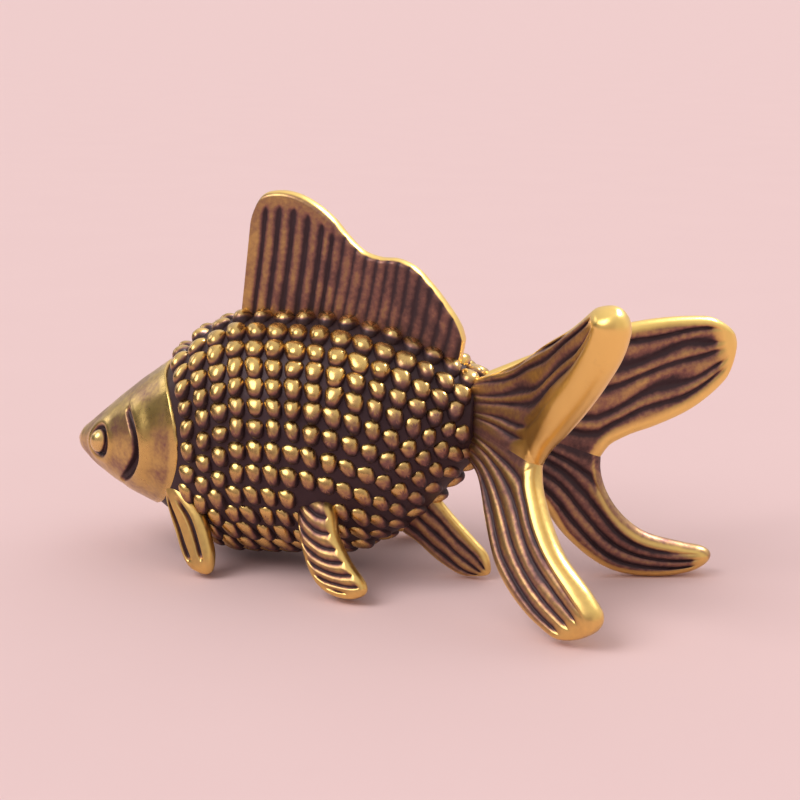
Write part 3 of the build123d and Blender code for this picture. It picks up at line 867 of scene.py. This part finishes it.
# Extra thickness of the upper rear rims, and the looks of the upper and lower lobes.
LEFT_BULK, RIGHT_BULK = 1.3, 0.3
LEFT_LOOKS = (
    dict(rim=(0.3, 2.65, 2.0), tip=(0.94, 2.0), dim=0.34, polish_and_highlight=0.45),
    dict(rim=(0.4, (0.5, 1.3), 1.5), tip=(0.93, 2.3), dim=0.32),
)
# The right lobes are dimmer than the left: painted shade.
RIGHT_LOOKS = (
    dict(rim=(0.6, 1.15, 2.0), tip=(0.9, 2.0), dim=0.36, polish_and_highlight=0.45),
    dict(rim=(0.4, (0.5, 1.3), 1.5), tip=(0.93, 2.3), dim=0.45, tarnish=0.5),
)


def length_of(points):
    """Length of the line through some points."""
    return np.linalg.norm(np.diff(np.array(points), axis=0), axis=1).sum()


def tail_piece(name, node, seam, upper, lower, bulk, looks, seed):
    """One tail half: two lobes that share a seam up to the fork; bulk thickens the upper rear rim."""
    lobes = []
    for front, free in (upper, lower):
        free = [seam[-1], *free]
        joint = length_of(seam) / (length_of(seam) + length_of(free))
        lobes.append((front, free, joint))

    def rear_of(free, joint):
        def rear(s):
            shared = curve(seam, np.clip(s / joint, 0, 1))
            alone = curve(free, np.clip((s - joint) / (1 - joint), 0, 1))
            return np.where((s < joint)[:, None], shared, alone)

        return rear

    def facing_of(sign, joint):
        def facing(s):
            share = np.clip(s / joint, 0, 1)
            along = curve(seam, np.clip(share + 0.01, 0, 1)) - curve(seam, np.clip(share - 0.01, 0, 1))
            across = curve(lobes[1][0], share * lobes[1][2]) - curve(lobes[0][0], share * lobes[0][2])
            return sign * unit(np.cross(along, across))

        return facing

    def upper_thick(s, t, gap):
        return TAIL_THICK + bulk * step_between(0.3, 0.6, s) * (1 - step_between(1.5, 3.2, gap))

    def lower_thick(s, t, gap):
        return TAIL_THICK + LOWER_BULK * step_between(0.3, 0.7, s) * (1 - step_between(0.8, 2.4, gap))

    upper_ribs = lines(count=6, depth=0.42, sharp=0.5, sway=0.4, seed=seed)
    lower_ribs = lines(count=5, depth=0.4, sharp=0.42, sway=0.1, seed=seed + 2)
    borders = np.vstack([curve(free, np.linspace(0, 1, 120)) for _, free, _ in lobes])
    piece = Cast()
    forms = zip(lobes, (1, -1), (upper_thick, lower_thick), (upper_ribs, lower_ribs), looks)
    for (front, free, joint), sign, thick, grooves, look in forms:
        bond = (joint, borders, facing_of(sign, joint))
        fin_sheet(piece, edge_of(front), rear_of(free, joint), thick, grooves, seam=bond, **look)
    return piece.finish(name, node, fin_brass)


def pelvic_thick(s, t, gap):
    """Thickness of the pelvic fins, which swell at the root."""
    return PELVIC_THICK + PELVIC_ROOT * (1 - step_between(0.1, 0.5, s)) + 0 * gap


body_piece()
head_piece()
eye_piece("left_eye_bead", "left_eye", 1)
eye_piece("right_eye_bead", "right_eye", -1)
dorsal_piece()
pectoral_grooves = slits(PECTORAL_SLITS, depth=0.4)
pelvic_grooves = bars(count=8, depth=0.34, sharp=0.42, bend=0.3, sway=0.05)
for side_name, side in (("left", 1), ("right", -1)):
    small_fin(
        f"{side_name}_pectoral_casting",
        f"{side_name}_pectoral_fin",
        PECTORAL,
        side,
        even(PECTORAL_THICK),
        pectoral_grooves,
        PECTORAL_RIM,
        # No dimming, so the whole pectoral face is painted light as a highlight.
        dim=0.0,
    )
    small_fin(
        f"{side_name}_pelvic_casting",
        f"{side_name}_pelvic_fin",
        PELVIC,
        side,
        pelvic_thick,
        pelvic_grooves,
        PELVIC_RIM,
        dim=0.3,
    )
anal_grooves = lines(count=4, depth=0.36, sharp=0.4, sway=0.12)
small_fin("anal_fin_casting", "anal_fin", ANAL, 1, even(ANAL_THICK), anal_grooves, ANAL_RIM, dim=0.35)
left_tail = (LEFT_SEAM, LEFT_UPPER, LEFT_LOWER, LEFT_BULK, LEFT_LOOKS)
right_tail = (RIGHT_SEAM, RIGHT_UPPER, RIGHT_LOWER, RIGHT_BULK, RIGHT_LOOKS)
tail_piece("left_tail_casting", "left_tail_fin", *left_tail, seed=0.3)
tail_piece("right_tail_casting", "right_tail_fin", *right_tail, seed=1.9)


# Stage: a flat sheet of pale pink paper, soft light from above, and the camera.
FLOOR_HALF, FLOOR_LINES = 20.0, 41
PAPER_TINTS = ((0.772, 0.564, 0.570), (0.792, 0.584, 0.588))
PAPER_FIBRE = (60, 6)
PAPER_ROUGHNESS, PAPER_SPECULAR = 0.95, 0.1
WORLD_STRENGTH = 0.545
# Brightness of the sky at its heights, from the horizon to straight above.
SKY_HEIGHTS, SKY_LEVELS = (0.35, 0.65), (0.16, 0.26, 0.8, 1.7)
SKY_TINT = (1.0, 0.97, 0.95)
# Glows of the sky: axis, where each starts and is full, and its colour.
SKY_GLOWS = (
    ("Y", (0.15, 0.75), (1.1, 1.0, 0.97)),
    ("X", (0.5, 0.95), (1.1, 0.97, 0.88)),
    ("Y", (-0.2, -0.85), (0.62, 0.5, 0.52)),
)
# Camera: place and target in millimetres from the nose tip.
CAMERA_PLACE = np.array([75.171, -128.185, 45.345])
CAMERA_TARGET = np.array([28.515, 0.0, 13.852])
LENS, SENSOR, CLIP_START = 81.0, 36.0, 0.01


def floor_piece():
    """A wide flat sheet of pale pink paper."""
    span = np.linspace(-FLOOR_HALF, FLOOR_HALF, FLOOR_LINES)
    points = np.stack(np.broadcast_arrays(span[None], span[:, None], 0.0), -1)
    n = len(span)
    mesh = bpy.data.meshes.new("ground")
    faces = []
    for r in range(n - 1):
        for c in range(n - 1):
            k = r * n + c
            faces.append((k, k + 1, k + n + 1, k + n))
    mesh.from_pydata(points.reshape(-1, 3).tolist(), [], faces)
    material = bpy.data.materials.new("ground_paper")
    material.use_nodes = True
    tree = material.node_tree
    shader = tree.nodes["Principled BSDF"]
    shader.inputs["Roughness"].default_value = PAPER_ROUGHNESS
    shader.inputs["Specular IOR Level"].default_value = PAPER_SPECULAR
    place = tree.nodes.new("ShaderNodeTexCoord")
    fibre = noise_at(tree, place, *PAPER_FIBRE)
    tint = colour_mix(tree, fibre, "Fac")
    tint.inputs["A"].default_value = (*PAPER_TINTS[0], 1)
    tint.inputs["B"].default_value = (*PAPER_TINTS[1], 1)
    link(tree, tint, "Result", shader, "Base Color")
    mesh.materials.append(material)
    ground = bpy.data.objects.new("ground", mesh)
    bpy.context.scene.collection.objects.link(ground)


def soft_sun(name, direction, angle, power, colour, diffuse=True):
    """A wide soft light far away; without diffuse it shows only as a gloss on the metal."""
    data = bpy.data.lights.new(name, "SUN")
    data.angle = math.radians(angle)
    data.energy = power
    data.color = colour
    lamp = bpy.data.objects.new(name, data)
    lamp.location = Vector(direction)
    lamp.rotation_euler = (-Vector(direction)).to_track_quat("-Z", "Y").to_euler()
    lamp.visible_diffuse = diffuse
    bpy.context.scene.collection.objects.link(lamp)


def world_light():
    """A sky that brightens upwards, with soft glows behind, to the right and in front."""
    world = bpy.data.worlds.new("studio")
    bpy.context.scene.world = world
    world.use_nodes = True
    tree = world.node_tree
    background = tree.nodes["Background"]
    background.inputs["Strength"].default_value = WORLD_STRENGTH
    place = tree.nodes.new("ShaderNodeTexCoord")
    height = tree.nodes.new("ShaderNodeSeparateXYZ")
    link(tree, place, "Generated", height, "Vector")
    ramp = tree.nodes.new("ShaderNodeValToRGB")
    stops = ramp.color_ramp.elements
    for stop_height in SKY_HEIGHTS:
        stops.new(stop_height)
    for stop, level in zip(stops, SKY_LEVELS):
        stop.color = (*(level * share for share in SKY_TINT), 1)
    link(tree, height, "Z", ramp, "Fac")
    sky, sky_out = ramp, "Color"
    for axis, stretch, glow in SKY_GLOWS:
        lit = colour_mix(tree, map_range(tree, height, axis, stretch), "Result")
        lit.blend_type = "ADD"
        lit.inputs["B"].default_value = (*glow, 1)
        link(tree, sky, sky_out, lit, "A")
        sky, sky_out = lit, "Result"
    link(tree, sky, "Result", background, "Color")


def camera_piece():
    """The camera, at the viewing angle of the picture."""
    data = bpy.data.cameras.new("camera")
    data.lens, data.sensor_width = LENS, SENSOR
    data.clip_start = CLIP_START
    camera = bpy.data.objects.new("camera", data)
    camera.location = CAMERA_PLACE * MM + NOSE
    view = Vector(CAMERA_TARGET * MM + NOSE) - camera.location
    camera.rotation_euler = view.to_track_quat("-Z", "Y").to_euler()
    bpy.context.scene.collection.objects.link(camera)
    bpy.context.scene.camera = camera


floor_piece()
soft_sun("key_softbox", (-0.5, -0.5, 0.72), angle=40, power=1.5, colour=(1.0, 0.98, 0.95))
soft_sun("rim_softbox", (0.35, 0.6, 0.75), angle=14, power=2.0, colour=(1.0, 1.0, 1.0), diffuse=False)
soft_sun("left_softbox", (-0.87, 0.25, 0.42), angle=22, power=0.2, colour=(1.0, 0.97, 0.92), diffuse=False)
world_light()
camera_piece()
bpy.context.scene.view_settings.view_transform = "Standard"
